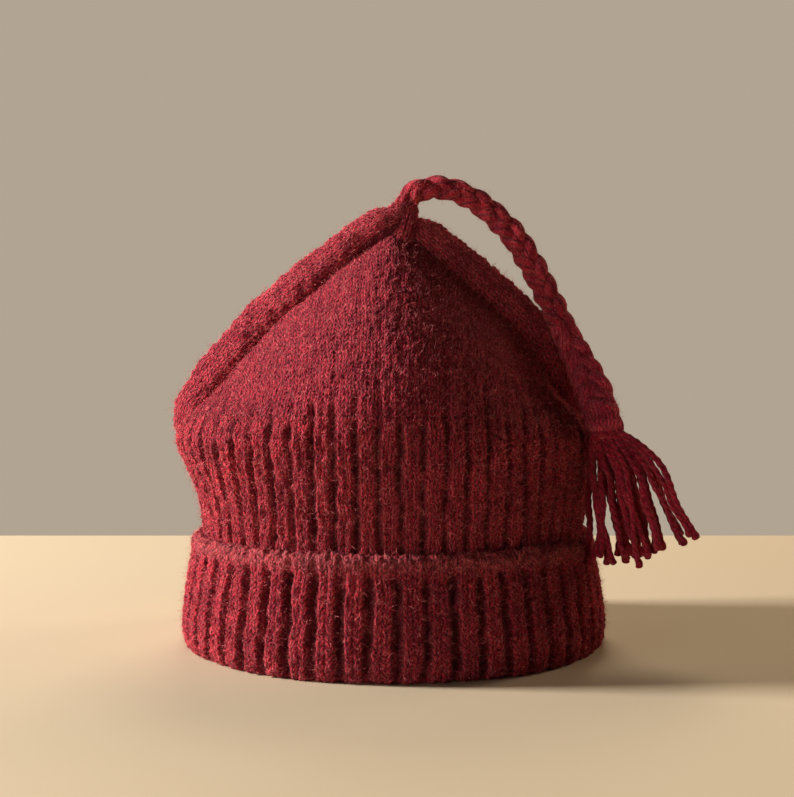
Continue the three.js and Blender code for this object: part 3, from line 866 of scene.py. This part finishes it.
def seam_line(side):
    """The roll's middle and its radius from the shoulder to the peak."""
    heights, proud, radii = np.array(SEAM_ROLL, float).T
    column = 0 if side < 0 else 1
    reach = read_table(WALL, heights)[:, column]
    climb = np.column_stack([
        side * (read_table(WALL, heights + 4)[:, column] - read_table(WALL, heights - 4)[:, column]),
        np.full(len(heights), 8.0)])
    climb /= np.linalg.norm(climb, axis=1)[:, None]
    outward = np.column_stack([side * climb[:, 1], np.zeros(len(heights)), -side * climb[:, 0]])
    middle = np.column_stack([HAT_AXIS + side * reach, np.zeros(len(heights)), heights])
    middle = middle + outward * (proud - radii)[:, None]
    middle[:, 1] = -read_table(ROLL_FORWARD, heights)[:, 0] * (1 if side < 0 else RIGHT_FORWARD)
    middle = np.concatenate([middle, [row[:3] for row in PEAK[side]]])
    return middle, np.append(radii, [row[3] for row in PEAK[side]])


# Painted light: the rolls are the crown's own yarn, given paler colours than plain_wool so that they look
# lit.
roll_wool = wool_material(
    "roll_wool", stitched, {"Lean": 1.0}, (0.78, 0.050, 0.085), (0.15, 0.005, 0.026),
    (1.0, 0.45, 0.46), 1.0, 0.3)
rolls = {}
around = np.arange(ROLL_SIDES)[None, :] * 2 * math.pi / ROLL_SIDES
for side, name in ((-1, "seam_roll_left"), (1, "seam_roll_right")):
    middle, radii = seam_line(side)
    line = smooth_line(middle, ROLL_ROW / 4)
    length = lengths_along(line)[:, None]
    outward, across = np.abs(np.cos(around)), np.abs(np.sin(around)) / ROLL_THICKNESS
    wedge = (outward ** ROLL_WEDGE + across ** ROLL_WEDGE) ** (-1 / ROLL_WEDGE)
    sewn = 2 - smooth_step(line[:, 2:], 186, 198)
    inside = ROLL_THICKNESS / np.hypot(ROLL_THICKNESS * outward * sewn, np.sin(around))
    oval = np.where(np.cos(around) > 0, wedge, inside)
    uneven = 1 + 0.05 * drift(around, length, 3, 0.2, 21 + side)
    thick = radii_along(line, middle, radii) * oval * uneven
    rings = round_bar(line, thick, ROLL_SIDES, (side, 0, 0))
    spoke = rings - rings.mean(axis=1)[:, None]
    rings = rings + 0.45 * tufts(rings, 6.5, 47)[:, :, None] * spoke / 10
    places = bar_stitches(rings, ROLL_COLUMNS, ROLL_ROW, ROLL_SIDES)
    rings = raise_stitches(rings, places, 1.0, 1.0)
    outside = np.where(np.cos(around) < -0.35, -1.0, 1.0) + 0 * rings[:, :, 0]
    knitting = cloth_patch(rings, places, depth=outside)
    rolls[side] = wool_piece("knitted_" + name, [knitting], roll_wool)
    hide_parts(name)

# ---- Gather: a short stem at the peak, where the left roll turns up into the cord ----
# The crown's last front stitches, of the same wool yarn, are drawn together here and sewn to the
# end of the roll.
STEM_LINE = [
    (9.6, -1.5, 208.6), (8.4, -4.0, 203.0), (6.8, -6.0, 197.0), (5.0, -7.5, 190.5),
    (3.8, -9.0, 184.0),
]
STEM_RADII = [3.8, 4.4, 5.0, 5.6, 6.2]
STEM_COLUMNS = 9
STEM_SIDES = 45
line = smooth_line(STEM_LINE, ROLL_ROW / 4)
radii = radii_along(line, STEM_LINE, STEM_RADII)
rings = round_bar(line, radii, STEM_SIDES, (0, -1, 0))
places = bar_stitches(rings, STEM_COLUMNS, ROLL_ROW, STEM_SIDES)
rings = raise_stitches(rings, places, 1.0, 1.0)
# The stem shares the rolls' painted-light colours.
gather = wool_piece("peak_gather", [cloth_patch(rings, places)], roll_wool)

# ---- Fuzz: loose fibres that brushing has raised all over the wool ----
# Each is one curved hair of the dyed wool, rooted in the yarn. Most are short and lie close to
# the knitting.
hair_wool = bpy.data.materials.new("hair_wool")
hair_wool.use_nodes = True
tree = hair_wool.node_tree
surface = tree.nodes["Principled BSDF"]
place = tree.nodes.new("ShaderNodeTexCoord").outputs["Object"]
tint = speckle(tree, place, 420, 1, 0.5)
tint = blend(tree, ramp(tree, tint, 0.38, 0.66), (0.50, 0.026, 0.048, 1), (0.95, 0.28, 0.30, 1))
tree.links.new(tint, surface.inputs["Base Color"])
surface.inputs["Roughness"].default_value = 0.7
surface.inputs["Specular IOR Level"].default_value = 0.3
surface.inputs["Sheen Weight"].default_value = 0.2
surface.inputs["Sheen Tint"].default_value = (1.0, 0.4, 0.4, 1)


def loose_fibres(name, piece, count, shortest, longest, thickness, slot, seed):
    """Hairs over a piece's open surface, spread evenly over its area. Each is one bent blade, wide
    in its middle and pointed at its tip."""
    rng = np.random.default_rng(seed)
    mesh = piece.data
    mesh.calc_loop_triangles()
    corners = np.empty(len(mesh.loop_triangles) * 3, np.int32)
    mesh.loop_triangles.foreach_get("vertices", corners)
    co = np.empty(len(mesh.vertices) * 3, np.float32)
    mesh.vertices.foreach_get("co", co)
    depth = np.empty(len(mesh.vertices), np.float32)
    mesh.attributes["depth"].data.foreach_get("value", depth)
    corners = corners.reshape(-1, 3)
    corners = corners[(depth[corners] > -0.5).all(axis=1)]
    shape = co.reshape(-1, 3)[corners].astype(float) / MM
    crossing = np.cross(shape[:, 1] - shape[:, 0], shape[:, 2] - shape[:, 0])
    area = np.linalg.norm(crossing, axis=1)
    weight = area * (0.25 + 0.75 * np.clip(depth[corners].mean(axis=1), 0, 1))
    chosen = rng.choice(len(area), count, p=weight / weight.sum())
    mix = rng.dirichlet((1, 1, 1), count)
    root = (shape[chosen] * mix[:, :, None]).sum(axis=1)
    normal = crossing[chosen] / area[chosen][:, None]
    length = (shortest + (longest - shortest) * rng.random(count) ** 5)[:, None]
    ahead = normal * rng.uniform(0.0, 1.0, count)[:, None] + rng.normal(size=(count, 3)) * 0.55
    ahead /= np.linalg.norm(ahead, axis=1)[:, None]
    later = ahead + rng.normal(size=(count, 3)) * 0.6
    later /= np.linalg.norm(later, axis=1)[:, None]
    across = np.cross(ahead, rng.normal(size=(count, 3)))
    across *= thickness / 2 / np.linalg.norm(across, axis=1)[:, None]
    start = root - normal * 0.2
    middle = start + ahead * length * 0.45
    end = middle + later * length * 0.55
    points = np.stack([start, middle + across, end, middle - across], axis=1)
    points[:, :, 2] = np.maximum(points[:, :, 2], 0)
    faces = np.arange(count)[:, None] * 4 + np.arange(4)
    hairs = bpy.data.meshes.new(name)
    hairs.from_pydata((points.reshape(-1, 3) * MM).tolist(), [], faces.tolist())
    side = math.ceil(math.sqrt(count))
    cell = np.stack([np.arange(count) % side, np.arange(count) // side], axis=-1)[:, None]
    blades = cell + np.array([(0.5, 0.1), (0.9, 0.5), (0.5, 0.9), (0.1, 0.5)])
    uv = hairs.uv_layers.new(name="OFBake")
    uv.uv.foreach_set("vector", (blades / side).astype(np.float32).ravel())
    hairs.materials.append(hair_wool)
    fuzz = bpy.data.objects.new(name, hairs)
    bpy.context.scene.collection.objects.link(fuzz)
    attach(fuzz, "root")


# The hairs' name and the piece under them, how many there are, the shortest and the longest, how
# thick they are, their slot, and the seed of their places.
FUZZ = [
    ("cuff_fuzz", cuff, 64000, 1.4, 6.0, 0.09, "ribbed_wool", 31),
    ("body_fuzz", body, 64000, 1.4, 6.0, 0.09, "ribbed_wool", 32),
    ("crown_fuzz", crown, 64000, 1.4, 6.0, 0.09, "plain_wool", 33),
    ("roll_left_fuzz", rolls[-1], 15000, 1.4, 6.5, 0.09, "plain_wool", 34),
    ("roll_right_fuzz", rolls[1], 13000, 1.4, 6.5, 0.09, "plain_wool", 35),
    ("gather_fuzz", gather, 1500, 1.2, 4.0, 0.09, "plain_wool", 39),
    ("cord_fuzz", cord, 9000, 1.2, 5.0, 0.09, "cord_wool", 36),
    ("head_fuzz", head, 6500, 1.2, 4.5, 0.09, "tassel_wool", 37),
    ("strand_fuzz", fringe, 15000, 0.7, 2.4, 0.07, "tassel_wool", 38),
]
for settings in FUZZ:
    loose_fibres(*settings)

# ---- Floor and light: a pale surface, low warm light from the left, and a weak fill ----
# The surface ends behind the hat, and past it there is only the room's dim colour.
FLOOR_SIDE = 3.0
FLOOR_BACK = 0.41
floor = bpy.data.objects.new("floor", bpy.data.meshes.new("floor"))
corners = [
    (-FLOOR_SIDE, -FLOOR_SIDE, 0), (FLOOR_SIDE, -FLOOR_SIDE, 0),
    (FLOOR_SIDE, FLOOR_BACK, 0), (-FLOOR_SIDE, FLOOR_BACK, 0),
]
floor.data.from_pydata(corners, [], [(0, 1, 2, 3)])
bpy.context.scene.collection.objects.link(floor)
pale = bpy.data.materials.new("pale_floor")
pale.use_nodes = True
surface = pale.node_tree.nodes["Principled BSDF"]
surface.inputs["Base Color"].default_value = (0.62, 0.51, 0.36, 1)
surface.inputs["Roughness"].default_value = 0.7
floor.data.materials.append(pale)


def soft_light(name, place, aim, size, power, colour):
    """A square light at place that shines at aim. Size is its side in metres, power in watts."""
    data = bpy.data.lights.new(name, "AREA")
    data.size = size
    data.energy = power
    data.color = colour
    light = bpy.data.objects.new(name, data)
    light.location = place
    way = np.array(place) - np.array(aim)
    flat = math.hypot(way[0], way[1])
    light.rotation_euler = (math.atan2(flat, way[2]), 0, math.atan2(way[1], way[0]) + math.pi / 2)
    bpy.context.scene.collection.objects.link(light)


soft_light("window", (-2.0, 0.07, 0.8), (0, 0, 0.1), 0.4, 102, (1.0, 0.95, 0.88))
soft_light("curtain", (-1.6, -1.4, 0.25), (0, 0, 0.1), 1.0, 14, (1.0, 0.90, 0.78))
soft_light("ceiling", (0.1, 2.0, 1.9), (0, 0.1, 0), 1.2, 28, (1.0, 0.84, 0.60))
soft_light("far_window", (1.3, 0.75, 0.55), (0.05, 0, 0.13), 0.4, 8, (1.0, 0.74, 0.52))
world = bpy.data.worlds.new("room_air")
world.use_nodes = True
tree = world.node_tree
air = tree.nodes["Background"]
seen = tree.nodes.new("ShaderNodeLightPath").outputs["Is Camera Ray"]
tree.links.new(blend(tree, seen, (0.01, 0.009, 0.008, 1), (0.44, 0.37, 0.29, 1)), air.inputs["Color"])
bpy.context.scene.world = world
bpy.context.scene.view_settings.view_transform = "Standard"
